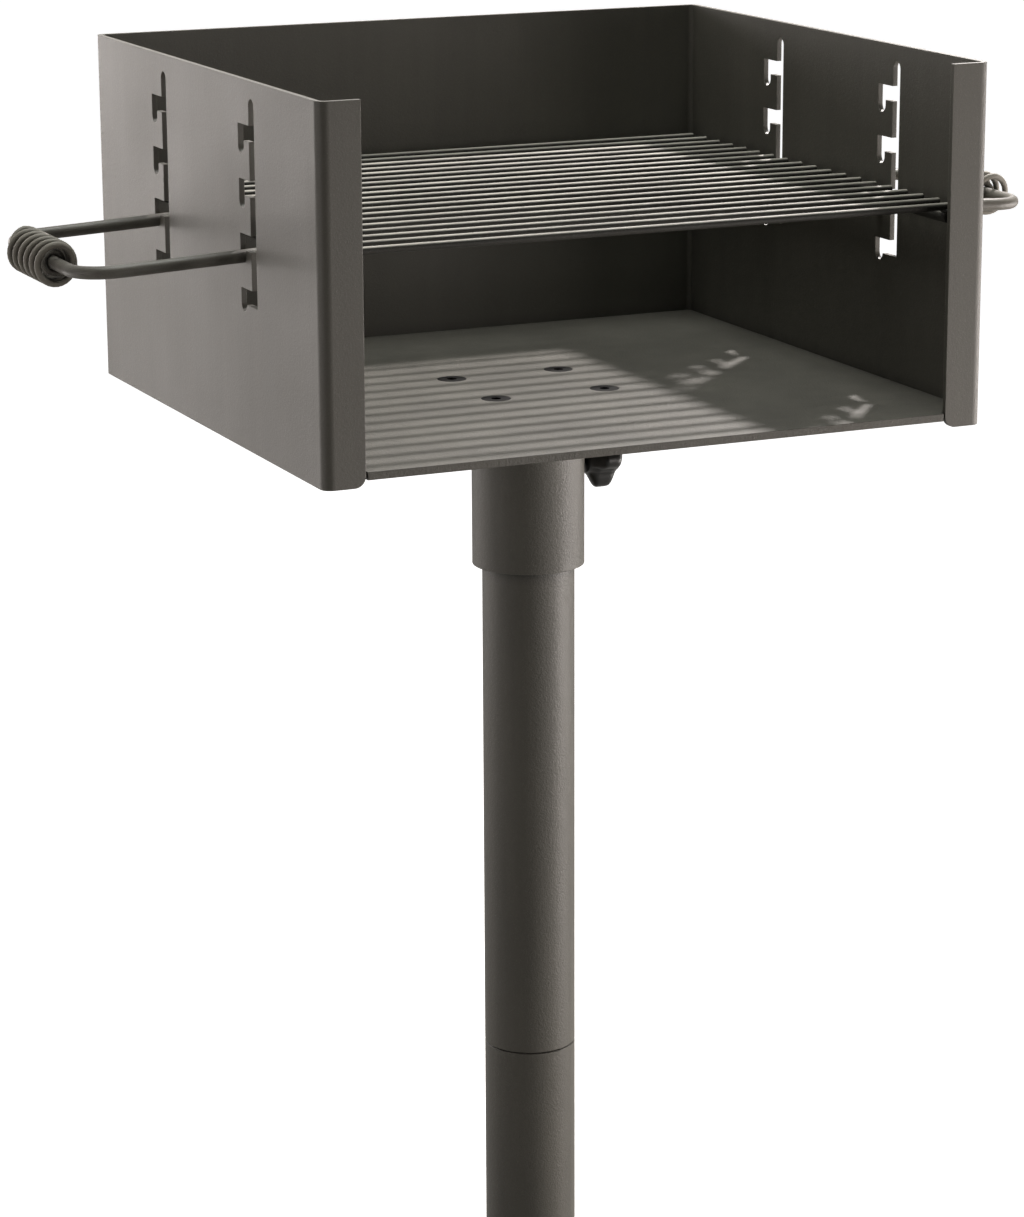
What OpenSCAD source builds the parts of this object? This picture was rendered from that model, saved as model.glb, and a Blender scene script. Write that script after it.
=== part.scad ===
// Park grill on a single post. A firebox bent from one sheet turns on a post
// set in the ground, and its grate hangs at four heights in notched slots.
// The origin is on the post's axis at ground level, with +Z up and the open
// front of the firebox towards -Y.

/* [Firebox] */
// Outside width of the firebox
box_w = 438; // [400:1:520]
// Outside depth of the firebox
box_d = 396; // [340:1:460]
// Height of the wall panels
box_h = 224; // [200:1:280]
// Thickness of the wall sheet
wall_t = 3.4; // [2:0.1:5]
// Outside radius of the sheet's bends
bend_r = 6.6; // [5.5:0.1:10]
// Width of the front flanges, bend included
flange_w = 26; // [18:1:40]
// Radius on the flanges' lower inside corners
flange_corner_r = 7; // [3:1:12]
// Thickness of the floor plate
floor_t = 4.8; // [3:0.1:8]
// Height of the floor's top above the panels' lower edge
floor_rise = 9; // [9:0.5:16]
// Gap between the floor's front tongue and the flanges
tongue_gap = 1.2; // [0.5:0.1:3]
// Gap left by a weld or a seat
seat_gap = 0.3; // [0.1:0.1:0.4]

/* [Slots] */
// Distance between the front and rear hooks of one panel
slot_span = 155; // [120:1:200]
// Number of grate heights
level_count = 4; // [2:1:4]
// From the panels' upper edge down to the slots' round tops
slot_margin = 10.4; // [8:0.1:30]
// Height of the lowest pocket above the floor
first_level = 80.5; // [60:0.5:88]
// Channel height above the highest pocket's floor
channel_head = 25.7; // [16:0.1:32]
// Width of the vertical channel
channel_w = 9; // [8.6:0.1:12]
// Width of a hook
hook_w = 9.6; // [8.6:0.1:12]
// Distance from the channel's middle back to the hook's middle
hook_reach = 18; // [14:0.5:22]
// Depth of a hook below its pocket
hook_depth = 8; // [6:0.5:12]
// Depth of the lowest hook below its pocket
low_hook_depth = 4.5; // [3:0.5:8]
// Height of a pocket
pocket_h = 9.6; // [9:0.1:12]

/* [Grate] */
// Number of grate bars
bar_count = 19; // [13:1:23]
// Diameter of a grate bar
bar_d = 4.8; // [4:0.1:6.4]
// Diameter of the cross rods and handle rods
rod_d = 7.9; // [6:0.1:8.2]
// Level where the grate hangs, with 0 for the lowest
use_level = 1; // [0:1:1]
// Play left in front when the grate slides out of its hooks
grate_play = 1; // [0.5:0.1:3]
// Gap from the bars' ends to the side walls
bar_side_gap = 7.6; // [4:0.1:12]
// Gap from the last bar to the rear wall
bar_back_gap = 9; // [4:0.5:16]
// Distance from the bars' ends to a cross rod's middle
cross_inset = 5; // [4.5:0.5:12]
// How far to the right the grate sits in its side play
grate_shift = 3; // [0:0.5:3]

/* [Handles] */
// Reach from a side wall to the crossbar's middle, with the grate centred
handle_reach = 104; // [75:1:140]
// Bend radius on the handle rod's centre line
handle_bend_r = 25; // [12:1:36]
// Angle that the handles hang down
handle_droop = 2.7; // [0:0.1:4]
// Length of the arms past the cross rods, inside the firebox
arm_tail = 12; // [6:1:40]

/* [Spring grips] */
// Diameter of the grip's wire
grip_wire_d = 4; // [3:0.1:4.4]
// Outside diameter of the wound grip
grip_d = 28.6; // [27:0.1:38]
// Height of one open turn
grip_pitch = 11; // [10:0.1:13]
// Open turns between the two inner turns
grip_turns = 6; // [4:1:7]
// How far the turns that hug the rod sit inside the open ends
grip_setback = 6; // [5:0.1:6.5]

/* [Post] */
// Outside diameter of the post
post_d = 60.3; // [48:0.1:76]
// Wall of the post tube
post_wall = 3.9; // [2.5:0.1:6]
// Height of the firebox floor above the ground
grill_height = 760; // [600:1:950]
// Length of post below the ground
bury_depth = 457; // [300:1:700]
// Distance from the floor down to the seam of the two post sections
seam_drop = 448; // [300:1:520]
// Length of the upper section's spigot inside the lower one
spigot_len = 90; // [40:1:150]
// Clearance round the spigot
spigot_gap = 0.2; // [0.1:0.05:0.4]
// Deburring chamfer on both sections at the seam
seam_chamfer = 0.6; // [0.3:0.1:1.5]

/* [Collar and clamp] */
// Clearance between the collar and the post
collar_gap = 1.2; // [0.5:0.1:2]
// Wall of the collar tube
collar_wall = 5.2; // [4:0.1:8]
// Distance from the floor down to the collar's lower end
collar_drop = 118; // [90:1:160]
// Distance from the floor down to the clamp stud
clamp_drop = 52; // [46:1:70]
// Diameter of the clamp stud
stud_d = 10; // [8:0.5:12]
// Outside diameter of the clamp knob
knob_d = 42; // [34:1:46]
// Length of the clamp knob
knob_len = 25.5; // [20:0.5:34]
// Lobes round the clamp knob
lobe_count = 4; // [3:1:5]
// Gap between the knob's hub and the collar
knob_gap = 3.5; // [1:0.5:8]

/* [Flange plate and bolts] */
// Thickness of the flange plate on the collar
plate_t = 6; // [4:0.5:10]
// Bolt spacing across the firebox
bolt_span_x = 76; // [70:1:110]
// Bolt spacing from front to back
bolt_span_y = 70; // [68:1:110]
// Bolt diameter
bolt_d = 10; // [6:0.5:10]
// Diameter of the flush bolt heads
bolt_head_d = 19; // [16:0.5:22]
// Distance from a bolt to the plate's edge
plate_edge = 16; // [14:1:24]
// Clearance of fasteners in their holes and of welded rods
running_gap = 0.1; // [0.05:0.05:0.2]

/* [Hidden] */
$fn = 96;
over = 1;
coat = [0.30, 0.28, 0.26];
bare = [0.16, 0.16, 0.15];
moulded = [0.07, 0.07, 0.07];

// Heights above the ground
floor_z = grill_height;
panel_z = floor_z - floor_rise;
plate_z = floor_z - floor_t - plate_t;
collar_z = floor_z - collar_drop;
clamp_z = floor_z - clamp_drop;
seam_z = floor_z - seam_drop;

// Firebox
inner_w = box_w - 2 * wall_t;
inner_d = box_d - 2 * wall_t;
inner_bend_r = bend_r - wall_t;
flange_x = box_w / 2 - flange_w;
panel_x = (box_w - wall_t) / 2;

// Slots, measured from the floor's top
channel_top = box_h - floor_rise - slot_margin;
last_level = level_count - 1;
level_pitch = (channel_top - channel_head - first_level) / last_level;
function level_z(level) = first_level + level * level_pitch;
function hook_drop(level) = level > 0 ? hook_depth : low_hook_depth;

// Grate
grate_front = -inner_d / 2 + hook_reach + grate_play;
grate_back = inner_d / 2 - bar_back_gap;
grate_d = grate_back - grate_front;
grate_mid = (grate_front + grate_back) / 2;
bar_len = inner_w - 2 * bar_side_gap;
bar_pitch = (grate_d - bar_d) / (bar_count - 1);
cross_x = bar_len / 2 - cross_inset;
seat_z = floor_z + level_z(use_level) - hook_drop(use_level) + seat_gap + rod_d / 2;
cross_z = seat_z + (panel_x - cross_x) * tan(handle_droop) + (rod_d + running_gap) / cos(handle_droop);
bar_z = cross_z + (rod_d + bar_d) / 2 + running_gap;

// Handles, measured from the side wall's middle and the seated rod's centre
arm_in = panel_x - cross_x + arm_tail;
arm_out = handle_reach + wall_t / 2;

// Spring grips
grip_out_r = (grip_d - grip_wire_d) / 2;
grip_in_pitch = grip_wire_d * 1.24;
grip_len = grip_turns * grip_pitch;
tight_turns = 1.25;
step_turns = 0.5;
curl_rings = 8;
wire_sides = 6;
grip_in_r = (rod_d / 2 + running_gap) / cos(180 / curl_rings) + grip_wire_d / 2;

// Post, collar and clamp
post_r = post_d / 2;
post_bore_r = post_r - post_wall;
spigot_r = post_bore_r - spigot_gap;
spigot_bore_r = spigot_r - post_wall;
lower_len = seam_z - seat_gap + bury_depth;
collar_bore_r = post_r + collar_gap;
collar_r = collar_bore_r + collar_wall;
weld_leg = collar_wall * 0.8;
stud_tip_x = post_r + seat_gap;
knob_x = collar_r + knob_gap;
knob_r = knob_d / 2;
knob_bore_share = 0.6;
lobe_notch_r = knob_r * 0.62;
lobe_notch_at = knob_r * 1.23;
// The knob's profile: share of its length, then share of its radius
knob_profile_shares = [
    [0, 0], [0, 0.52], [0.14, 0.7], [0.26, 0.92], [0.33, 1], [0.62, 0.99],
    [0.71, 0.93], [0.78, 0.74], [0.86, 0.52], [0.94, 0.4], [1, 0.22], [1, 0]
];

// Bolts and plate
plate_w = bolt_span_x + 2 * plate_edge;
plate_d = bolt_span_y + 2 * plate_edge;
plate_corner_r = plate_edge / 2;
head_depth = (bolt_head_d - bolt_d) / 2;
shank_d = bolt_d - 2 * running_gap;
washer_t = bolt_d * 0.2;
washer_d = bolt_d * 2.1;
nut_t = bolt_d * 0.84;
nut_across = bolt_d * 1.7;
thread_past_nut = bolt_d * 0.3;
bolt_len = floor_t + plate_t + washer_t + nut_t + thread_past_nut;
socket_across = bolt_d * 0.6;
socket_depth = head_depth * 0.6;

function two_digits(i) = str(i < 10 ? "0" : "", i);
bar_names = [for (i = [1 : bar_count]) str("grate_bar_", two_digits(i))];

module rounded_rect(w, d, r) {
    square([w - 2 * r, d], center = true);
    square([w, d - 2 * r], center = true);
    for (x = [-1, 1], y = [-1, 1])
        translate([x * (w / 2 - r), y * (d / 2 - r)])
            circle(r = r);
}

module at_bolts(z) {
    for (x = [-1, 1], y = [-1, 1])
        translate([x * bolt_span_x / 2, y * bolt_span_y / 2, z])
            children();
}

// Plan of the bent sheet: two sides, the rear and the two front flanges
module shell_plan() {
    difference() {
        rounded_rect(box_w, box_d, bend_r);
        rounded_rect(inner_w, inner_d, inner_bend_r);
        translate([-flange_x, -box_d / 2 - over])
            square([2 * flange_x, wall_t + 2 * over]);
    }
}

// One notched slot, drawn from its hooks' centre line and the floor's top
module slot_outline() {
    channel_left = -hook_reach - channel_w / 2;
    translate([channel_left, first_level])
        square([channel_w, channel_top - first_level - channel_w / 2]);
    translate([-hook_reach, channel_top - channel_w / 2])
        circle(d = channel_w);
    for (level = [0 : last_level]) {
        hook_round = level_z(level) - hook_drop(level) + hook_w / 2;
        translate([channel_left, level_z(level)])
            square([hook_w / 2 - channel_left, pocket_h]);
        translate([-hook_w / 2, hook_round])
            square([hook_w, level_z(level) + pocket_h - hook_round]);
        translate([0, hook_round])
            circle(d = hook_w);
    }
}

// Each cut runs through both side walls, so left and right slots line up
module slots() {
    for (side = [-1, 1])
        translate([-box_w / 2 - over, grate_mid + side * slot_span / 2, floor_z])
            rotate([90, 0, 90])
                linear_extrude(box_w + 2 * over)
                    slot_outline();
}

module flange_corner_cuts() {
    for (side = [0, 1])
        mirror([side, 0, 0])
            translate([flange_x, -box_d / 2 + wall_t + over, panel_z])
                rotate([90, 0, 0])
                    linear_extrude(wall_t + 2 * over)
                        difference() {
                            translate([-over, -over])
                                square(flange_corner_r + over);
                            translate([flange_corner_r, flange_corner_r])
                                circle(r = flange_corner_r);
                        }
}

module firebox_shell() {
    color(coat)
        difference() {
            translate([0, 0, panel_z])
                linear_extrude(box_h)
                    shell_plan();
            slots();
            flange_corner_cuts();
        }
}

// Floor plate, with a tongue that comes forward between the flanges
module firebox_floor() {
    tongue_w = 2 * (flange_x - tongue_gap);
    color(coat)
        difference() {
            translate([0, 0, floor_z - floor_t])
                linear_extrude(floor_t)
                    union() {
                        rounded_rect(inner_w - 2 * seat_gap, inner_d - 2 * seat_gap, inner_bend_r);
                        translate([-tongue_w / 2, -box_d / 2])
                            square([tongue_w, box_d / 2]);
                    }
            at_bolts(floor_z - floor_t - over)
                cylinder(d = bolt_d + 2 * running_gap, h = floor_t + 2 * over);
            at_bolts(floor_z - head_depth - running_gap)
                cylinder(d1 = bolt_d, d2 = bolt_head_d + 2 * running_gap, h = head_depth + running_gap);
            at_bolts(floor_z)
                cylinder(d = bolt_head_d + 2 * running_gap, h = over);
        }
}

// Flush-head bolts that hold the firebox to the collar's flange plate
module floor_bolts() {
    color(bare)
        at_bolts(floor_z)
            difference() {
                union() {
                    translate([0, 0, -head_depth])
                        cylinder(d1 = shank_d, d2 = bolt_head_d - 2 * running_gap, h = head_depth);
                    translate([0, 0, -bolt_len])
                        cylinder(d = shank_d, h = bolt_len - head_depth);
                }
                translate([0, 0, -socket_depth])
                    cylinder(d = socket_across / cos(30), h = socket_depth + over, $fn = 6);
            }
}

module floor_washers() {
    color(bare)
        at_bolts(plate_z - washer_t)
            difference() {
                cylinder(d = washer_d, h = washer_t);
                translate([0, 0, -over])
                    cylinder(d = bolt_d + 2 * running_gap, h = washer_t + 2 * over);
            }
}

module floor_nuts() {
    color(bare)
        at_bolts(plate_z - washer_t - nut_t)
            difference() {
                cylinder(d = nut_across / cos(30), h = nut_t, $fn = 6);
                translate([0, 0, -over])
                    cylinder(d = bolt_d, h = nut_t + 2 * over);
            }
}

module collar_flange() {
    color(coat)
        difference() {
            translate([0, 0, plate_z])
                linear_extrude(plate_t)
                    rounded_rect(plate_w, plate_d, plate_corner_r);
            at_bolts(plate_z - over)
                cylinder(d = bolt_d + 2 * running_gap, h = plate_t + 2 * over);
        }
}

// Collar tube that turns on the post, with its weld and the clamp's hole
module post_collar() {
    color(coat)
        difference() {
            union() {
                translate([0, 0, collar_z])
                    cylinder(r = collar_r, h = plate_z - collar_z);
                translate([0, 0, plate_z - weld_leg])
                    cylinder(r1 = collar_r, r2 = collar_r + weld_leg, h = weld_leg);
            }
            translate([0, 0, collar_z - over])
                cylinder(r = collar_bore_r, h = plate_z - collar_z + 2 * over);
            translate([0, 0, clamp_z])
                rotate([0, 90, 0])
                    cylinder(d = stud_d + 2 * running_gap, h = collar_r + over);
        }
}

// Upper post section, swaged down to a spigot below the seam
module post_upper() {
    top_z = plate_z - seat_gap;
    color(coat)
        rotate_extrude()
            polygon([
                [post_bore_r, top_z], [post_r, top_z],
                [post_r, seam_z + seam_chamfer], [post_r - seam_chamfer, seam_z],
                [spigot_r, seam_z],
                [spigot_r, seam_z - spigot_len], [spigot_bore_r, seam_z - spigot_len],
                [spigot_bore_r, seam_z], [post_bore_r, seam_z + post_wall]
            ]);
}

module post_lower() {
    color(coat)
        translate([0, 0, -bury_depth])
            rotate_extrude()
                polygon([
                    [post_bore_r, 0], [post_r, 0],
                    [post_r, lower_len - seam_chamfer], [post_r - seam_chamfer, lower_len],
                    [post_bore_r, lower_len]
                ]);
}

module clamp_stud() {
    stud_end = knob_x + knob_len * knob_bore_share - seat_gap;
    color(bare)
        translate([stud_tip_x, 0, clamp_z])
            rotate([0, 90, 0])
                cylinder(d = stud_d, h = stud_end - stud_tip_x);
}

// Moulded knob: a turned profile scalloped into lobes, one of them downward
module clamp_knob() {
    color(moulded)
        translate([knob_x, 0, clamp_z])
            rotate([0, 90, 0])
                difference() {
                    rotate_extrude()
                        polygon([for (p = knob_profile_shares) [p[1] * knob_r, p[0] * knob_len]]);
                    translate([0, 0, -over])
                        cylinder(d = stud_d + 2 * running_gap, h = knob_len * knob_bore_share + over);
                    for (lobe = [0 : lobe_count - 1])
                        rotate(360 * (lobe + 0.5) / lobe_count)
                            translate([lobe_notch_at, 0, -over])
                                cylinder(r = lobe_notch_r, h = knob_len + 2 * over);
                }
}

module grate_bar(i) {
    color(coat)
        translate([grate_shift - bar_len / 2, grate_front + bar_d / 2 + (i - 1) * bar_pitch, bar_z])
            rotate([0, 90, 0])
                cylinder(d = bar_d, h = bar_len);
}

module cross_rod(side) {
    color(coat)
        translate([grate_shift + side * cross_x, grate_front, cross_z])
            rotate([-90, 0, 0])
                cylinder(d = rod_d, h = grate_d);
}

// Puts a handle's piece, drawn for the right, on its side of the firebox
module at_handle(side) {
    mirror([side < 0 ? 1 : 0, 0, 0])
        translate([panel_x + side * grate_shift, grate_mid, seat_z])
            rotate([0, handle_droop, 0])
                children();
}

// One rod bent to a U: its arms reach in through the slots to a cross rod
module handle_rod() {
    half = slot_span / 2;
    straight = arm_out - handle_bend_r;
    for (end = [0, 1])
        mirror([0, end, 0]) {
            translate([-arm_in, half, 0])
                rotate([0, 90, 0])
                    cylinder(d = rod_d, h = arm_in + straight);
            translate([straight, half - handle_bend_r, 0])
                rotate_extrude(angle = 90)
                    translate([handle_bend_r, 0])
                        circle(d = rod_d);
        }
    translate([arm_out, handle_bend_r - half, 0])
        rotate([-90, 0, 0])
            cylinder(d = rod_d, h = slot_span - 2 * handle_bend_r);
}

module handle(side) {
    color(coat)
        at_handle(side)
            handle_rod();
}

// The grip's wire is one tube: a tight turn that hugs the crossbar, a step
// out to the open end, the open turns, a step in and a second tight turn.
// t counts turns from the wire's start.
open_from = tight_turns + step_turns;
open_to = open_from + grip_turns;
all_turns = open_to + step_turns + tight_turns;
ring_count = round(all_turns * curl_rings);

function grip_radius(t) =
    lookup(t, [
        [tight_turns, grip_in_r], [open_from, grip_out_r],
        [open_to, grip_out_r], [open_to + step_turns, grip_in_r]
    ]);
function grip_place(t) =
    lookup(t, [
        [0, grip_setback + tight_turns * grip_in_pitch], [tight_turns, grip_setback],
        [open_from, 0], [open_to, grip_len], [open_to + step_turns, grip_len - grip_setback],
        [all_turns, grip_len - grip_setback - tight_turns * grip_in_pitch]
    ]) - grip_len / 2;
function grip_point(t) =
    let (a = 360 * t, r = grip_radius(t))
    [r * cos(a), grip_place(t), -r * sin(a)];
function unit(v) = v / norm(v);
function grip_ring(i) =
    let (
        t = i * all_turns / ring_count,
        dt = all_turns / ring_count / curl_rings,
        along = unit(grip_point(t + dt) - grip_point(t - dt)),
        out = [cos(360 * t), 0, -sin(360 * t)],
        side = unit(cross(along, out)),
        up = cross(side, along)
    )
    [for (s = [0 : wire_sides - 1])
        let (a = 360 * s / wire_sides)
        grip_point(t) + grip_wire_d / 2 * (cos(a) * up + sin(a) * side)];

grip_points = [for (i = [0 : ring_count]) each grip_ring(i)];
grip_faces = concat(
    [[for (s = [0 : wire_sides - 1]) s]],
    [for (i = [0 : ring_count - 1], s = [0 : wire_sides - 1])
        let (a = i * wire_sides, b = a + wire_sides, n = (s + 1) % wire_sides)
        each [[a + s, b + s, b + n], [a + s, b + n, a + n]]],
    [[for (s = [wire_sides - 1 : -1 : 0]) ring_count * wire_sides + s]]
);

// Least gap of the wire to itself, between points over half a turn apart
grip_centres = [for (i = [0 : ring_count]) grip_point(i * all_turns / ring_count)];
grip_self_gap = min([
    for (i = [0 : ring_count - curl_rings / 2 - 1], j = [i + curl_rings / 2 + 1 : ring_count])
        norm(grip_centres[i] - grip_centres[j])
]) - grip_wire_d;
echo(str("Spring grip: least gap to itself ", grip_self_gap, " mm"));

module grip(side) {
    color(coat)
        at_handle(side)
            translate([arm_out, 0, 0])
                polyhedron(points = grip_points, faces = grip_faces, convexity = 10);
}

firebox_shell();
firebox_floor();
collar_flange();
post_collar();
floor_bolts();
floor_washers();
floor_nuts();
post_upper();
post_lower();
clamp_stud();
clamp_knob();
cross_rod(-1);  // cross_rod_left
cross_rod(1);  // cross_rod_right
handle(-1);  // handle_left
handle(1);  // handle_right
grip(-1);  // grip_left
grip(1);  // grip_right
for (i = [1 : bar_count])
    grate_bar(i);
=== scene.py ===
"""Park grill on a post: finishes, springs, clamp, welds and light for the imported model.

Lengths are in metres, in the model's own frame: the ground is at z = 0, the post
stands on the Z axis and the open front of the firebox faces -Y.
"""

import math

import bmesh
import bpy
from mathutils import Matrix, Vector


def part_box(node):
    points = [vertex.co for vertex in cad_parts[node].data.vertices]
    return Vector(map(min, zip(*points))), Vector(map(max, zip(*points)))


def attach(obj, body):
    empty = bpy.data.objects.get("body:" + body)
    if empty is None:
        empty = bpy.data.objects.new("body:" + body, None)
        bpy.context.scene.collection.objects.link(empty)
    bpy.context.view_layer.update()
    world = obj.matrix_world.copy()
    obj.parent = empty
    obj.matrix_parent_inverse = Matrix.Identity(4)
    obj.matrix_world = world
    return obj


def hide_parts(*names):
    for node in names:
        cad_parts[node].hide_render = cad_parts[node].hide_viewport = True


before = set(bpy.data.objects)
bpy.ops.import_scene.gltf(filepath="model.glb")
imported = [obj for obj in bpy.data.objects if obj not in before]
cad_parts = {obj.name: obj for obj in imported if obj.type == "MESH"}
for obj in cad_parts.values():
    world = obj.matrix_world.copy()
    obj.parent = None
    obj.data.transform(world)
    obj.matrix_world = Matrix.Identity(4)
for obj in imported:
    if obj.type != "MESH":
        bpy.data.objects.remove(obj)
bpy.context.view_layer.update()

MM = 0.001
FULL_TURN = 2 * math.pi

# Sizes of the pieces drawn here, as in the model. Only the springs' inner turns differ:
# they start 2.6 mm further in than the solids' and hug the crossbar closer.
FLOOR_Z = 760 * MM
ROD_R = 3.95 * MM
WIRE_R = 2 * MM
SPRING_OUT_R = 12.3 * MM
SPRING_GAP = 0.3 * MM
SPRING_IN_R = ROD_R + WIRE_R + SPRING_GAP
SPRING_PITCH = 11 * MM
SPRING_IN_PITCH = 4.96 * MM
SPRING_SETBACK = 8.6 * MM
SPRING_TURNS = 6
SPRING_TIGHT_TURNS = 1.25
SPRING_STEP_TURNS = 0.5
HANDLE_DROOP = math.radians(2.7)
THREAD_PITCH = 1.5 * MM
KNOB_LOBES = 4

# Fineness of the round meshes
WIRE_RINGS_PER_TURN = 28
WIRE_SIDES = 14
KNOB_STATIONS = 40
KNOB_SIDES = 120
STUD_SIDES = 24
STUD_RINGS_PER_TURN = 8
BEAD_SIDES = 10

# Waves per metre of the finishes' noises
CLOUD_SCALE = 7
DRIFT_SCALE = 16
STREAK_SCALE = 75
LUMP_SCALE = 430
PEBBLE_SCALE = 900
GRAIN_SCALE = 1700
WEAR_AND_SHEEN_SCALE = 60
TOP_HIGHLIGHT_SCALE = 40
FLOW_SCALE = 45
MOULD_SCALE = 1400

GRATE_BARS = sorted(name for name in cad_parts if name.startswith("grate_bar_"))


# Mesh helpers

def new_piece(name, mesh_maker, material, body, stands_for=()):
    """Makes a smooth-shaded piece from a bmesh maker and sets it on its body."""
    mesh = bpy.data.meshes.new(name)
    shape = bmesh.new()
    mesh_maker(shape)
    bmesh.ops.recalc_face_normals(shape, faces=shape.faces)
    for face in shape.faces:
        face.smooth = True
    shape.to_mesh(mesh)
    shape.free()
    mesh.materials.append(material)
    piece = bpy.data.objects.new(name, mesh)
    bpy.context.scene.collection.objects.link(piece)
    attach(piece, body)
    if stands_for:
        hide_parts(*stands_for)


def skin_rings(shape, rings, closed=False):
    """Joins rings of points with faces, and caps both ends unless they close up."""
    rows = [[shape.verts.new(point) for point in ring] for ring in rings]
    count = len(rows[0])
    pairs = list(zip(rows, rows[1:]))
    if closed:
        pairs.append((rows[-1], rows[0]))
    for low, high in pairs:
        for k in range(count):
            after = (k + 1) % count
            shape.faces.new((low[k], low[after], high[after], high[k]))
    if not closed:
        shape.faces.new(reversed(rows[0]))
        shape.faces.new(rows[-1])


def tube_rings(path, radius_at, sides, closed=False):
    """Rings of points square to a path; radius_at takes a share of its length."""
    last = len(path) - 1
    rings = []
    side = None
    for i, point in enumerate(path):
        before = path[i - 1] if i or closed else path[0]
        after = path[(i + 1) % len(path)] if i < last or closed else path[last]
        along = (after - before).normalized()
        if side is None:
            side = along.orthogonal().normalized()
        side = (side - along * side.dot(along)).normalized()
        up = along.cross(side)
        radius = radius_at(i / last)
        rings.append([
            point + radius * (math.cos(a) * side + math.sin(a) * up)
            for a in (FULL_TURN * k / sides for k in range(sides))
        ])
    return rings


def at_knots(knots, place):
    """The values at one place between knots, whose first number is their own place."""
    slack = 1e-9
    low, high = next((a, b) for a, b in zip(knots, knots[1:]) if place <= b[0] + slack)
    share = (place - low[0]) / (high[0] - low[0])
    return [a + share * (b - a) for a, b in zip(low[1:], high[1:])]


def wave(*numbers):
    """A repeatable value from -1 to 1 that differs from place to place."""
    return math.sin(sum(n * weight for n, weight in zip(numbers, (127.1, 311.7, 74.7))))


# Shader helpers

def node(tree, kind, inputs=None, **settings):
    """Adds a node; inputs maps its sockets to values or to other nodes' outputs."""
    made = tree.nodes.new(kind)
    for key, value in settings.items():
        setattr(made, key, value)
    for socket, value in (inputs or {}).items():
        if isinstance(value, bpy.types.NodeSocket):
            tree.links.new(value, made.inputs[socket])
        else:
            made.inputs[socket].default_value = value
    return made


def math_node(tree, operation, first, second=0.0):
    """One step of arithmetic on numbers or outputs."""
    return node(tree, "ShaderNodeMath", {0: first, 1: second}, operation=operation).outputs[0]


def remap(tree, value, low, high, to_low, to_high):
    """Stretches a value's range, and clamps it."""
    return node(tree, "ShaderNodeMapRange", {
        "Value": value, "From Min": low, "From Max": high, "To Min": to_low, "To Max": to_high,
    }).outputs["Result"]


def noise(tree, scale, detail=2.0, stretch=(1, 1, 1)):
    """Noise in the piece's own space, with scale in waves per metre."""
    place = node(tree, "ShaderNodeTexCoord").outputs["Object"]
    place = node(tree, "ShaderNodeMapping", {"Vector": place, "Scale": stretch}).outputs[0]
    waves = {"Vector": place, "Scale": scale, "Detail": detail}
    return node(tree, "ShaderNodeTexNoise", waves).outputs["Fac"]


def scaled(tree, colour, factor):
    """A colour times a factor, either of them a value or an output."""
    made = node(tree, "ShaderNodeVectorMath", {0: colour, "Scale": factor}, operation="SCALE")
    return made.outputs[0]


def blend_colour(tree, mask, first, second):
    """The first colour where the mask is 0, and the second where it is 1."""
    mixed = node(tree, "ShaderNodeMix", data_type="RGBA", blend_type="MIX")
    for socket, value in (("Factor_Float", mask), ("A_Color", first), ("B_Color", second)):
        target = next(s for s in mixed.inputs if s.identifier == socket)
        if isinstance(value, bpy.types.NodeSocket):
            tree.links.new(value, target)
        else:
            target.default_value = value
    return next(s for s in mixed.outputs if s.identifier == "Result_Color")


def new_group(name, inputs, outputs):
    """A shader group with typed sockets; inputs maps names to (type, default)."""
    tree = bpy.data.node_groups.new(name, "ShaderNodeTree")
    for label, (kind, value) in inputs.items():
        tree.interface.new_socket(label, in_out="INPUT", socket_type=kind).default_value = value
    for label, kind in outputs.items():
        tree.interface.new_socket(label, in_out="OUTPUT", socket_type=kind)
    return tree, tree.nodes.new("NodeGroupInput"), tree.nodes.new("NodeGroupOutput")


def srgb(red, green, blue):
    """A colour as it looks on screen, from 0 to 255, as the shader's linear values."""
    def linear(value):
        value /= 255
        return value / 12.92 if value <= 0.04045 else ((value + 0.055) / 1.055) ** 2.4
    return (linear(red), linear(green), linear(blue), 1.0)


FLOAT, COLOUR, VECTOR = "NodeSocketFloat", "NodeSocketColor", "NodeSocketVector"


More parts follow.
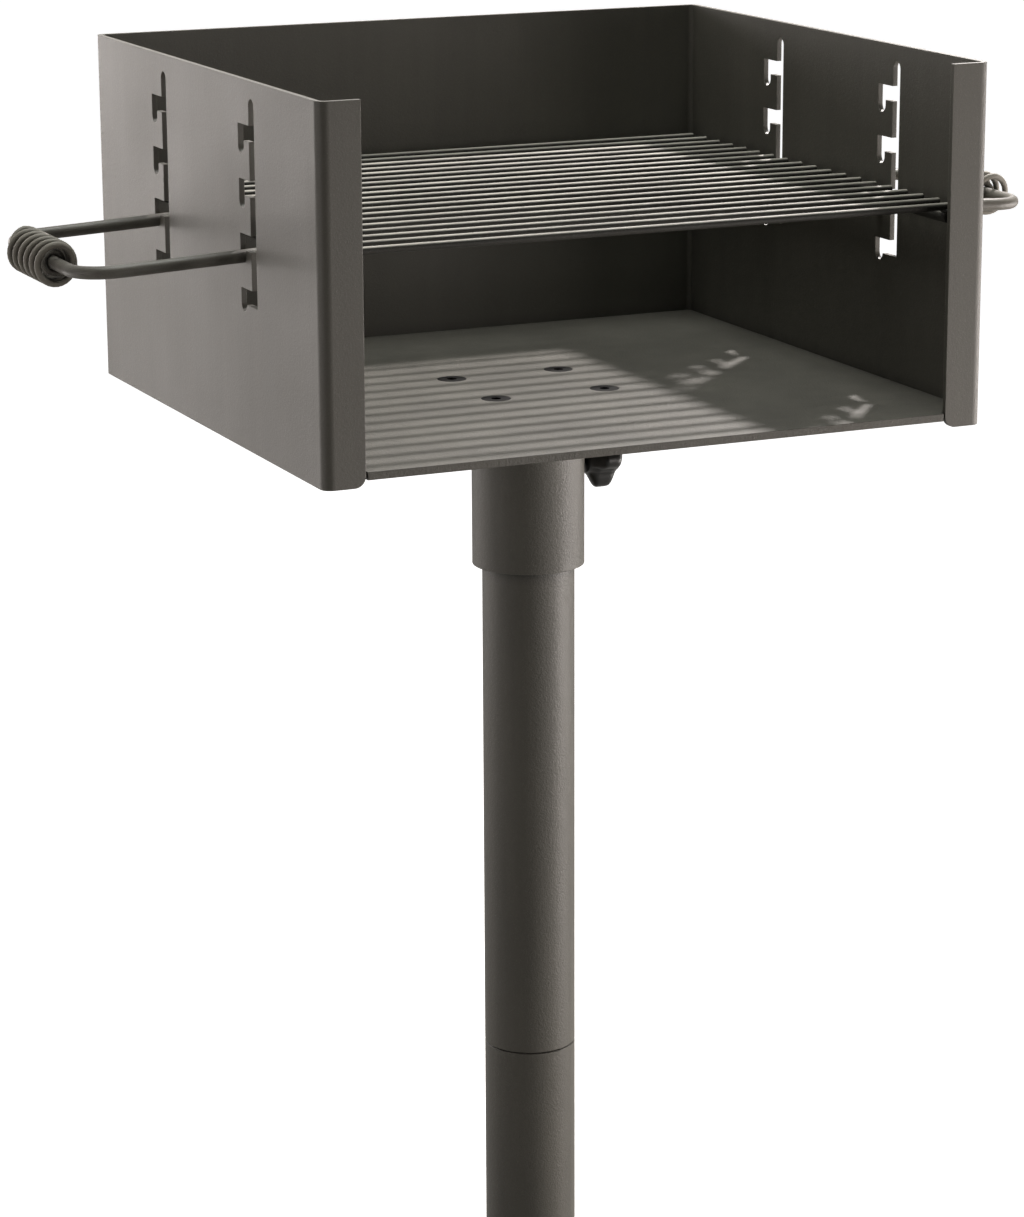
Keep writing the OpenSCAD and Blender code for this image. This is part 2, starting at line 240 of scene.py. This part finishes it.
def powder_and_shade_group():
    """Baked powder: a pebbled skin, clouds, streaks, paler grains and painted shade in corners."""
    tree, given, out = new_group(
        "powder texture and painted shade",
        {
            "Colour": (COLOUR, (0.1, 0.1, 0.1, 1)), "Roughness": (FLOAT, 0.5),
            "Cloud": (FLOAT, 0.1), "Corner Shade": (FLOAT, 0.5),
        },
        {"Colour": COLOUR, "Roughness": FLOAT, "Height": FLOAT},
    )
    drift_stretch = (1, 1, 0.12)
    streak_stretch = (1, 1, 0.06)
    pale_grain = (0.45, 0.44, 0.41, 1)
    painted_shade_reach = 10 * MM
    pebbles = noise(tree, PEBBLE_SCALE, 2.5)
    lumps = noise(tree, LUMP_SCALE, 1.0)
    grains = remap(tree, noise(tree, GRAIN_SCALE, 1.0), 0.62, 0.74, 0.0, 1.0)
    clouds = remap(tree, noise(tree, CLOUD_SCALE, 3.0), 0.3, 0.7, -0.5, 0.5)
    drifts = remap(tree, noise(tree, DRIFT_SCALE, 2.0, drift_stretch), 0.35, 0.65, -0.5, 0.5)
    streaks = remap(tree, noise(tree, STREAK_SCALE, 2.0, streak_stretch), 0.35, 0.65, -0.35, 0.35)
    patches = math_node(tree, "ADD", math_node(tree, "ADD", clouds, drifts), streaks)
    shade = math_node(tree, "MULTIPLY", patches, given.outputs["Cloud"])
    shade = math_node(tree, "ADD", shade, remap(tree, pebbles, 0.3, 0.7, 0.965, 1.035))
    toned = scaled(tree, given.outputs["Colour"], shade)
    speckled = blend_colour(tree, math_node(tree, "MULTIPLY", grains, 0.07), toned, pale_grain)
    # Painted shade: the colour darkens in corners and under overhangs, where shade falls.
    open_air = node(tree, "ShaderNodeAmbientOcclusion", {"Distance": painted_shade_reach}, samples=6)
    painted_shade = remap(tree, open_air.outputs["AO"], 0.55, 0.92, given.outputs["Corner Shade"], 1.0)
    tree.links.new(scaled(tree, speckled, painted_shade), out.inputs["Colour"])
    dulling = math_node(tree, "MULTIPLY", clouds, 0.08)
    rough = math_node(tree, "ADD", given.outputs["Roughness"], dulling)
    tree.links.new(rough, out.inputs["Roughness"])
    height = math_node(tree, "ADD", pebbles, math_node(tree, "MULTIPLY", grains, 0.3))
    height = math_node(tree, "ADD", height, math_node(tree, "MULTIPLY", lumps, 0.9))
    tree.links.new(height, out.inputs["Height"])
    return tree


def rounded_rims_group():
    """Normals rounded over sharp edges, and a mask of those edges."""
    tree, given, out = new_group(
        "rounded rims", {"Wear And Sheen": (FLOAT, 0.5)}, {"Rim": FLOAT, "Normal": VECTOR},
    )
    edge_radius = 0.7 * MM
    wear_and_sheen_radius = 1.2 * MM
    soft = node(tree, "ShaderNodeBevel", {"Radius": edge_radius}, samples=4).outputs["Normal"]
    wide = node(tree, "ShaderNodeBevel", {"Radius": wear_and_sheen_radius}, samples=4).outputs["Normal"]
    true = node(tree, "ShaderNodeNewGeometry").outputs["True Normal"]
    agree = node(tree, "ShaderNodeVectorMath", {0: wide, 1: true}, operation="DOT_PRODUCT")
    # The mask marks the rims that the coats paint paler, partly as wear and partly as a painted
    # highlight.
    rim = remap(tree, agree.outputs["Value"], 0.99, 0.82, 0.0, 1.0)
    patchy = remap(tree, noise(tree, WEAR_AND_SHEEN_SCALE, 3.0), 0.35, 0.6, 0.4, 1.0)
    rim = math_node(tree, "MULTIPLY", rim, patchy)
    rim = math_node(tree, "MULTIPLY", rim, given.outputs["Wear And Sheen"])
    tree.links.new(rim, out.inputs["Rim"])
    tree.links.new(soft, out.inputs["Normal"])
    return tree


POWDER = powder_and_shade_group()
RIMS = rounded_rims_group()


def group_node(tree, group, inputs):
    """Places a shader group with its own values."""
    made = tree.nodes.new("ShaderNodeGroup")
    made.node_tree = group
    for socket, value in inputs.items():
        made.inputs[socket].default_value = value
    return made


def new_material(name):
    """A material with only its shader; gives the material, its tree and the shader."""
    material = bpy.data.materials.new(name)
    material.use_nodes = True
    tree = material.node_tree
    tree.nodes.clear()
    surface = tree.nodes.new("ShaderNodeBsdfPrincipled")
    out = tree.nodes.new("ShaderNodeOutputMaterial")
    tree.links.new(surface.outputs["BSDF"], out.inputs["Surface"])
    return material, tree, surface


def powder_coat(
    name, colour, roughness, cloud, wear_and_sheen, depth=0.09, corner_shade=0.7, painted_top_highlight=None, shine=0.5,
):
    """Satin powder coat on steel, with paler rims and painted shade in its corners.

    cloud is the strength of its patches, and wear_and_sheen that of its rims, which are paler
    partly from wear and partly as a painted highlight; shine is its specular level. depth is
    the pebbling's height in millimetres, corner_shade the share of colour that the painted
    shade leaves in the deepest corner, and painted_top_highlight the paler colour painted as
    a highlight on faces that look up.
    """
    rim_lightening = 2.6
    material, tree, surface = new_material(name)
    powder = group_node(tree, POWDER, {
        "Colour": colour, "Roughness": roughness, "Cloud": cloud, "Corner Shade": corner_shade,
    })
    rims = group_node(tree, RIMS, {"Wear And Sheen": wear_and_sheen})
    # The rims are painted paler: partly wear, partly a painted highlight along the edges.
    rim_colour = tuple(min(1.0, rim_lightening * c) for c in colour[:3]) + (1.0,)
    colour_out = blend_colour(tree, rims.outputs["Rim"], powder.outputs["Colour"], rim_colour)
    # Faces that look up get a paler colour: a painted highlight on the bars' tops.
    if painted_top_highlight:
        facing = node(tree, "ShaderNodeNewGeometry").outputs["Normal"]
        upward = node(tree, "ShaderNodeSeparateXYZ", {0: facing}).outputs["Z"]
        top_highlight_noise = noise(tree, TOP_HIGHLIGHT_SCALE, 2.0, (0.4, 1, 1))
        patchy = remap(tree, top_highlight_noise, 0.35, 0.6, 0.65, 1.0)
        top_highlight_mask = math_node(tree, "MULTIPLY", remap(tree, upward, 0.55, 0.92, 0.0, 1.0), patchy)
        colour_out = blend_colour(tree, top_highlight_mask, colour_out, painted_top_highlight)
    tree.links.new(colour_out, surface.inputs["Base Color"])
    tree.links.new(powder.outputs["Roughness"], surface.inputs["Roughness"])
    bump = node(tree, "ShaderNodeBump", {
        "Strength": 1.0, "Distance": depth * MM,
        "Height": powder.outputs["Height"], "Normal": rims.outputs["Normal"],
    })
    tree.links.new(bump.outputs["Normal"], surface.inputs["Normal"])
    surface.inputs["Specular IOR Level"].default_value = shine
    return material


def moulded_plastic(name, colour, roughness):
    """Glossy moulded plastic with faint flow marks."""
    material, tree, surface = new_material(name)
    flow = noise(tree, FLOW_SCALE, 3.0, (1, 2.5, 1))
    shade = remap(tree, flow, 0.3, 0.7, 0.85, 1.15)
    tree.links.new(scaled(tree, colour[:3], shade), surface.inputs["Base Color"])
    rough = remap(tree, flow, 0.3, 0.7, roughness - 0.05, roughness + 0.07)
    tree.links.new(rough, surface.inputs["Roughness"])
    bump = node(tree, "ShaderNodeBump", {
        "Strength": 1.0, "Distance": 0.02 * MM, "Height": noise(tree, MOULD_SCALE),
    })
    tree.links.new(bump.outputs["Normal"], surface.inputs["Normal"])
    return material


# Finishes: grey powder coat, a little different on each kind of part, with blackened
# bolts and a plastic knob
COAT_COLOUR = srgb(88, 86, 79)
POST_COLOUR = srgb(84, 82, 75)
GRATE_COLOUR = srgb(46, 45, 41)
floor_coat = powder_coat(
    "floor plate powder coat", COAT_COLOUR, 0.55, cloud=0.16, wear_and_sheen=0.0, depth=0.3, corner_shade=0.55,
)
firebox_coat = powder_coat("firebox powder coat", COAT_COLOUR, 0.5, cloud=0.09, wear_and_sheen=0.35)
# Under its collar the post's colour darkens strongly: painted shade.
post_coat = powder_coat(
    "post powder coat", POST_COLOUR, 0.48, cloud=0.2, wear_and_sheen=0.3, depth=0.17, corner_shade=0.15,
)
handle_coat = powder_coat(
    "handle powder coat", srgb(104, 101, 94), 0.46, cloud=0.16, wear_and_sheen=0.1, depth=0.12,
)
nugget_coat = powder_coat("coated weld nuggets", GRATE_COLOUR, 0.5, cloud=0.2, wear_and_sheen=0.1)
spring_coat = powder_coat(
    "spring wire coat", srgb(142, 138, 129), 0.56,
    cloud=0.12, wear_and_sheen=0.0, depth=0.02, corner_shade=0.18, shine=0.3,
)
# The bars' tops are painted paler: a painted highlight.
grate_coat = powder_coat(
    "grate powder coat", GRATE_COLOUR, 0.6,
    cloud=0.2, wear_and_sheen=0.1, painted_top_highlight=srgb(168, 165, 155), shine=0.3,
)
weld_coat = powder_coat(
    "coated weld bead", POST_COLOUR, 0.42, cloud=0.3, wear_and_sheen=0.0, depth=0.03,
)
bolt_coat = powder_coat(
    "blackened bolt steel", srgb(13, 13, 12), 0.55,
    cloud=0.3, wear_and_sheen=0.15, depth=0.02, corner_shade=0.3, shine=0.12,
)
knob_plastic = moulded_plastic("black moulded knob", srgb(24, 24, 22), 0.33)

# Finishes of the solids that keep their own shape
FINISHES = {
    "firebox_shell": firebox_coat, "firebox_floor": floor_coat,
    "collar_flange": post_coat, "post_collar": post_coat,
    "post_upper": post_coat, "post_lower": post_coat,
    "floor_bolts": bolt_coat, "floor_washers": bolt_coat, "floor_nuts": bolt_coat,
    "cross_rod_left": grate_coat, "cross_rod_right": grate_coat,
    "handle_left": handle_coat, "handle_right": handle_coat,
}
FINISHES.update({name: grate_coat for name in GRATE_BARS})
for name, finish in FINISHES.items():
    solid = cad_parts[name]
    solid.data.materials.clear()
    solid.data.materials.append(finish)


# Spring grips: round wire with open ends, which hugs the crossbar a little way in

def spring_path(centre, side):
    """The wire's centre line for the handle on one side, -1 for left."""
    open_from = SPRING_TIGHT_TURNS + SPRING_STEP_TURNS
    open_to = open_from + SPRING_TURNS
    turns = open_to + SPRING_STEP_TURNS + SPRING_TIGHT_TURNS
    length = SPRING_TURNS * SPRING_PITCH
    inside = SPRING_SETBACK + SPRING_TIGHT_TURNS * SPRING_IN_PITCH
    knots = [
        (0, SPRING_IN_R, inside), (SPRING_TIGHT_TURNS, SPRING_IN_R, SPRING_SETBACK),
        (open_from, SPRING_OUT_R, 0), (open_to, SPRING_OUT_R, length),
        (open_to + SPRING_STEP_TURNS, SPRING_IN_R, length - SPRING_SETBACK),
        (turns, SPRING_IN_R, length - inside),
    ]
    path = []
    for i in range(round(turns * WIRE_RINGS_PER_TURN) + 1):
        t = i / WIRE_RINGS_PER_TURN
        radius, place = at_knots(knots, t)
        angle = FULL_TURN * t + HANDLE_DROOP
        across = side * radius * math.cos(angle)
        path.append(centre + Vector((across, place - length / 2, -radius * math.sin(angle))))
    return path


def rounded_end(share, length, radius):
    """A tube's radius that rounds off over its last radius of length."""
    from_end = min(share, 1 - share) * length
    least_share = 0.02
    if from_end >= radius:
        return radius
    return radius * math.sqrt(max(least_share, 1 - (1 - from_end / radius) ** 2))


def make_spring_grips():
    """One sprung wire round the crossbar of each handle."""
    for word, side in (("left", -1), ("right", 1)):
        low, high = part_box(f"handle_{word}")
        bar_x = (high.x - ROD_R) if side > 0 else (low.x + ROD_R)
        centre = Vector((bar_x, (low.y + high.y) / 2, low.z + ROD_R))
        path = spring_path(centre, side)
        length = sum((b - a).length for a, b in zip(path, path[1:]))
        rings = tube_rings(path, lambda share: rounded_end(share, length, WIRE_R), WIRE_SIDES)
        new_piece(
            f"spring_grip_{word}", lambda shape: skin_rings(shape, rings),
            spring_coat, "grate", [f"grip_{word}"],
        )


# Clamp knob: a scalloped moulded body on a threaded stud

def knob_radius(share, angle, full):
    """Radius of the knob's surface at a share of its length and an angle."""
    hub = 0.5
    valley_depth = 0.38
    profile = (
        (0.0, 0.5), (0.03, 0.53), (0.09, 0.6), (0.16, 0.74), (0.22, 0.88), (0.26, 0.955),
        (0.30, 0.99), (0.35, 1.0), (0.56, 1.0), (0.63, 0.99), (0.67, 0.965), (0.71, 0.9),
        (0.75, 0.79), (0.80, 0.62), (0.86, 0.49), (0.93, 0.4), (0.98, 0.25), (1.0, 0.08),
    )
    width = at_knots(profile, share)[0]
    lobe = 0.5 + 0.5 * math.cos(KNOB_LOBES * angle)
    valley = min(1.0, 1.25 * (1 - lobe)) ** 1.1
    depth = max(0.0, width - hub) / hub
    return full * (width - valley_depth * valley * depth)


def make_knob():
    """The moulded knob, with one lobe straight down."""
    low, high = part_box("clamp_knob")
    stud_low, stud_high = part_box("clamp_stud")
    axis_z = (stud_low.z + stud_high.z) / 2
    full = axis_z - low.z
    angles = [FULL_TURN * k / KNOB_SIDES for k in range(KNOB_SIDES)]
    rings = []
    for i in range(KNOB_STATIONS + 1):
        share = 0.5 - 0.5 * math.cos(math.pi * i / KNOB_STATIONS)
        x = low.x + share * (high.x - low.x)
        rings.append([
            Vector((x, r * math.sin(a), axis_z - r * math.cos(a)))
            for a, r in ((a, knob_radius(share, a, full)) for a in angles)
        ])
    new_piece(
        "star_knob", lambda shape: skin_rings(shape, rings),
        knob_plastic, "clamp_knob", ["clamp_knob"],
    )


def make_stud():
    """The clamp's stud with its rolled thread."""
    low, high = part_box("clamp_stud")
    radius = (high.z - low.z) / 2
    centre = Vector((0, 0, (low.z + high.z) / 2))
    depth = 0.6 * THREAD_PITCH
    steps = round((high.x - low.x) / THREAD_PITCH * STUD_RINGS_PER_TURN)
    rings = []
    for i in range(steps + 1):
        x = low.x + (high.x - low.x) * i / steps
        end = min(x - low.x, high.x - x)
        ring = []
        for k in range(STUD_SIDES):
            angle = FULL_TURN * k / STUD_SIDES
            phase = ((x - low.x) / THREAD_PITCH - k / STUD_SIDES) % 1
            cut = depth * abs(2 * phase - 1)
            chamfer = max(0.0, THREAD_PITCH - end)
            r = radius - max(cut, chamfer)
            ring.append(centre + Vector((x, r * math.cos(angle), r * math.sin(angle))))
        rings.append(ring)
    new_piece(
        "threaded_stud", lambda shape: skin_rings(shape, rings),
        bolt_coat, "clamp_stud", ["clamp_stud"],
    )


# Welds

def rippled(path, radius, closed=False):
    """Rings of a weld bead whose ripples lie about a third of its width apart."""
    length = sum((b - a).length for a, b in zip(path, path[1:]))
    ripple = 0.75 * radius

    def radius_at(share):
        swell = abs(math.sin(math.pi * share * length / ripple))
        size = radius * (0.86 + 0.14 * swell)
        return size if closed else rounded_end(share, length, size)

    return tube_rings(path, radius_at, BEAD_SIDES, closed)


def straight_bead(start, end, radius, steps):
    """Rings of a straight weld bead."""
    return rippled([start.lerp(end, i / steps) for i in range(steps + 1)], radius)


def new_beads(name, beads, material, body):
    """Makes one piece of several beads, each given as its rings."""
    def draw(shape):
        for rings in beads:
            skin_rings(shape, rings)

    new_piece(name, draw, material, body)


def make_grate_welds():
    """A small nugget where each bar crosses a cross rod."""
    half_size = (4.1 * MM, 3.3 * MM, 1.7 * MM)
    nuggets = []
    for side_name in ("left", "right"):
        rod_low, rod_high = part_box(f"cross_rod_{side_name}")
        rod_x = (rod_low.x + rod_high.x) / 2
        for bar_name in GRATE_BARS:
            bar_low, bar_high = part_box(bar_name)
            bar_y = (bar_low.y + bar_high.y) / 2
            seam = Vector((rod_x, bar_y, (rod_high.z + bar_low.z) / 2))
            odd = wave(rod_x * 40, bar_y * 90, 1)
            nuggets.append((seam, 1 + 0.18 * odd, 0.12 * wave(bar_y * 70, rod_x, 2)))

    def draw(shape):
        for seam, size, lean in nuggets:
            made = bmesh.ops.create_icosphere(shape, subdivisions=3, radius=1.0)
            turn = Matrix.Rotation(lean, 4, "Z")
            flat = Matrix.Diagonal((half_size[0] * size, half_size[1] * size, half_size[2], 1.0))
            for vert in made["verts"]:
                lump = 1 + 0.07 * wave(vert.co.x * 0.05, vert.co.y * 0.02, vert.co.z * 0.06)
                vert.co = seam + (turn @ flat @ (vert.co * lump))

    new_piece("grate_bar_welds", draw, nugget_coat, "grate")


def make_arm_welds():
    """Beads that hold the handles' arms under the cross rods."""
    bead = 1.7 * MM
    half = Vector((0, 3.1 * MM, 0))
    steps = 10
    beads = []
    for word in ("left", "right"):
        rod_low, rod_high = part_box(f"cross_rod_{word}")
        arm_low, arm_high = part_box(f"handle_{word}")
        rod_x = (rod_low.x + rod_high.x) / 2
        seam_z = rod_low.z
        for arm_y in (arm_low.y + ROD_R, arm_high.y - ROD_R):
            for edge in (-1, 1):
                offset = Vector((edge * 2.6 * MM, 0, -1.2 * MM))
                middle = Vector((rod_x, arm_y, seam_z)) + offset
                beads.append(straight_bead(middle - half, middle + half, bead, steps))
    new_beads("handle_arm_welds", beads, grate_coat, "grate")


def make_collar_weld():
    """The rippled bead round the collar, under its flange plate."""
    plate_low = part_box("collar_flange")[0]
    collar_low, collar_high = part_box("post_collar")
    bead = 2.4 * MM
    inset = bead * 0.9
    ring_r = (collar_high.x - collar_low.x) / 2 - inset
    z = plate_low.z - inset
    steps = 240
    path = [
        Vector((ring_r * math.cos(a), ring_r * math.sin(a), z))
        for a in (FULL_TURN * i / steps for i in range(steps))
    ]
    rings = rippled(path, bead, closed=True)
    new_piece(
        "collar_weld", lambda shape: skin_rings(shape, rings, closed=True),
        weld_coat, "firebox",
    )


def make_floor_welds():
    """Short beads under the floor, where it is stitched to the walls."""
    floor_low, floor_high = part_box("firebox_floor")
    bead = 1.7 * MM
    half = 18 * MM
    steps = 60
    places = (-130 * MM, 0, 130 * MM)
    side_x = floor_high.x - bead * 0.4
    rear_y = floor_high.y - bead * 0.4
    z = floor_low.z - bead * 0.3
    beads = []
    for side in (-1, 1):
        for y in places:
            start = Vector((side * side_x, y - half, z))
            end = start + Vector((0, 2 * half, 0))
            beads.append(straight_bead(start, end, bead, steps))
    for x in places:
        start = Vector((x - half, rear_y, z))
        end = start + Vector((2 * half, 0, 0))
        beads.append(straight_bead(start, end, bead, steps))
    new_beads("floor_stitch_welds", beads, weld_coat, "firebox")


make_spring_grips()
make_knob()
make_stud()
make_grate_welds()
make_arm_welds()
make_collar_weld()
make_floor_welds()


# Stage, light and camera

def make_floor():
    """A pale floor that shows the object's shadow and fades into white.

    Rays from elsewhere than the camera see it darker, so it throws back little light.
    """
    material = bpy.data.materials.new("pale floor")
    material.use_nodes = True
    tree = material.node_tree
    tree.nodes.clear()
    ray = node(tree, "ShaderNodeLightPath")
    bounced = (0.22, 0.22, 0.21, 1)
    seen = (0.8, 0.8, 0.79, 1)
    pale = blend_colour(tree, ray.outputs["Is Camera Ray"], bounced, seen)
    matte = node(tree, "ShaderNodeBsdfDiffuse", {"Color": pale})
    place = node(tree, "ShaderNodeTexCoord").outputs["Object"]
    reach = node(tree, "ShaderNodeVectorMath", {0: place}, operation="LENGTH").outputs["Value"]
    glow = node(tree, "ShaderNodeEmission", {
        "Color": (1, 1, 1, 1), "Strength": remap(tree, reach, 0.6, 2.6, 0.45, 1.0),
    })
    mirror_share = 0.32
    mirrored = math_node(tree, "MULTIPLY", ray.outputs["Is Glossy Ray"], mirror_share)
    shown = math_node(tree, "MAXIMUM", ray.outputs["Is Camera Ray"], mirrored)
    none = node(tree, "ShaderNodeEmission", {"Color": (0, 0, 0, 1), "Strength": 0.0})
    lit = node(tree, "ShaderNodeMixShader", {0: shown, 1: none.outputs[0], 2: glow.outputs[0]})
    both = node(tree, "ShaderNodeAddShader", {0: matte.outputs[0], 1: lit.outputs[0]})
    out = tree.nodes.new("ShaderNodeOutputMaterial")
    tree.links.new(both.outputs[0], out.inputs["Surface"])
    mesh = bpy.data.meshes.new("pale_floor")
    half = 12.0
    corners = [(-half, -half, 0), (half, -half, 0), (half, half, 0), (-half, half, 0)]
    mesh.from_pydata(corners, [], [(0, 1, 2, 3)])
    mesh.materials.append(material)
    floor = bpy.data.objects.new("pale_floor", mesh)
    bpy.context.scene.collection.objects.link(floor)


def make_world():
    """White to the camera, pale behind and dark in front in reflections, dim otherwise."""
    world = bpy.data.worlds.new("studio")
    bpy.context.scene.world = world
    world.use_nodes = True
    tree = world.node_tree
    tree.nodes.clear()
    heading = node(tree, "ShaderNodeTexCoord").outputs["Generated"]
    rearward = node(tree, "ShaderNodeSeparateXYZ", {0: heading}).outputs["Y"]
    white = node(tree, "ShaderNodeBackground", {"Color": (1, 1, 1, 1), "Strength": 1.0})
    shine = node(tree, "ShaderNodeBackground", {
        "Color": (1, 0.97, 0.93, 1), "Strength": remap(tree, rearward, -0.1, 0.6, 0.0, 0.6),
    })
    room = node(tree, "ShaderNodeBackground", {
        "Color": (0.98, 1, 0.95, 1), "Strength": remap(tree, rearward, -0.3, 0.6, 0.005, 0.02),
    })
    ray = node(tree, "ShaderNodeLightPath")
    glossy, clear = ray.outputs["Is Glossy Ray"], ray.outputs["Is Transmission Ray"]
    mirrored = math_node(tree, "MAXIMUM", glossy, clear)
    lit = node(tree, "ShaderNodeMixShader", {0: mirrored, 1: room.outputs[0], 2: shine.outputs[0]})
    seen = node(tree, "ShaderNodeMixShader", {
        0: ray.outputs["Is Camera Ray"], 1: lit.outputs[0], 2: white.outputs[0],
    })
    out = tree.nodes.new("ShaderNodeOutputWorld")
    tree.links.new(seen.outputs[0], out.inputs["Surface"])


def add_lamp(name, kind, place, aim, power, size, colour=(1.0, 0.93, 0.89)):
    """A lamp that the camera doesn't see; size is a radius, or a card's two sides."""
    data = bpy.data.lights.new(name, kind)
    data.energy = power
    data.color = colour
    if kind == "AREA":
        data.shape = "RECTANGLE"
        data.size, data.size_y = size
    else:
        data.shadow_soft_size = size
    lamp = bpy.data.objects.new(name, data)
    lamp.visible_camera = False
    bpy.context.scene.collection.objects.link(lamp)
    lamp.location = place
    lamp.rotation_euler = (Vector(aim) - Vector(place)).to_track_quat("-Z", "Y").to_euler()


def make_camera():
    """The photograph's view: from the left front, a little above the firebox."""
    photo_height_px = 1217
    focal_px = 3791.8
    place = (-0.99414, -2.18011, FLOOR_Z + 0.47909)
    data = bpy.data.cameras.new("photo view")
    data.sensor_fit = "VERTICAL"
    data.sensor_height = 36
    data.lens = focal_px / photo_height_px * data.sensor_height
    data.clip_start = 0.05
    data.clip_end = 60
    camera = bpy.data.objects.new("photo_view", data)
    bpy.context.scene.collection.objects.link(camera)
    turn = math.radians(-24.256)
    tilt = math.radians(90 - 14.703)
    roll = math.radians(-0.261)
    matrix = Matrix.Rotation(turn, 4, "Z") @ Matrix.Rotation(tilt, 4, "X")
    matrix = matrix @ Matrix.Rotation(roll, 4, "Z")
    camera.matrix_world = Matrix.Translation(place) @ matrix
    bpy.context.scene.camera = camera


LEFT_PANEL = (-0.22, 0.1, 0.86)
COLLAR = (0, 0, 0.7)

make_floor()
make_world()

# The key lamp, behind on the right, is small, so the bars cast clear stripes on the
# floor plate. The others are soft cards. Powers are in watts.
add_lamp(
    "key", "POINT", (0.81, 0.60, FLOOR_Z + 1.085), (0, 0, FLOOR_Z), 124, 0.036, (1.0, 0.94, 0.92),
)
add_lamp("overhead", "AREA", (0, 0.1, 2.6), (0, 0, 0.8), 27, (1.0, 1.0), (0.98, 1.0, 0.96))
add_lamp("left_rear_card", "AREA", (-0.5, 1.1, 0.95), LEFT_PANEL, 3.1, (0.3, 0.5))
add_lamp("left_low_card", "AREA", (-0.75, 1.2, 0.5), LEFT_PANEL, 1.9, (0.4, 0.5))
add_lamp("left_card", "AREA", (-0.9, 0.5, 0.45), (-0.05, 0, 0.6), 1.2, (0.4, 0.4))
add_lamp("left_fill", "AREA", (-1.6, -0.2, 0.9), (-0.2, 0, 0.8), 4, (0.8, 0.8))
add_lamp("right_low_strip", "AREA", (1.5, -0.78, 0.3), (0, 0, 0.62), 20.5, (0.6, 0.6))
add_lamp("right_card", "AREA", (1.7, 0, 0.55), COLLAR, 9.5, (0.6, 0.6))
add_lamp("front_strip", "AREA", (0.6, -1.75, 0.6), COLLAR, 6.6, (0.5, 1.0))
add_lamp("grate_card", "AREA", (-0.08, 0.55, 1.3), (-0.05, -0.05, 0.89), 0.3, (0.32, 0.3))
add_lamp("rim_strip", "AREA", (0.3, 1.5, 1.15), (-0.2, 0, 0.97), 1.6, (0.8, 0.15))
make_camera()

bpy.context.scene.view_settings.view_transform = "Standard"
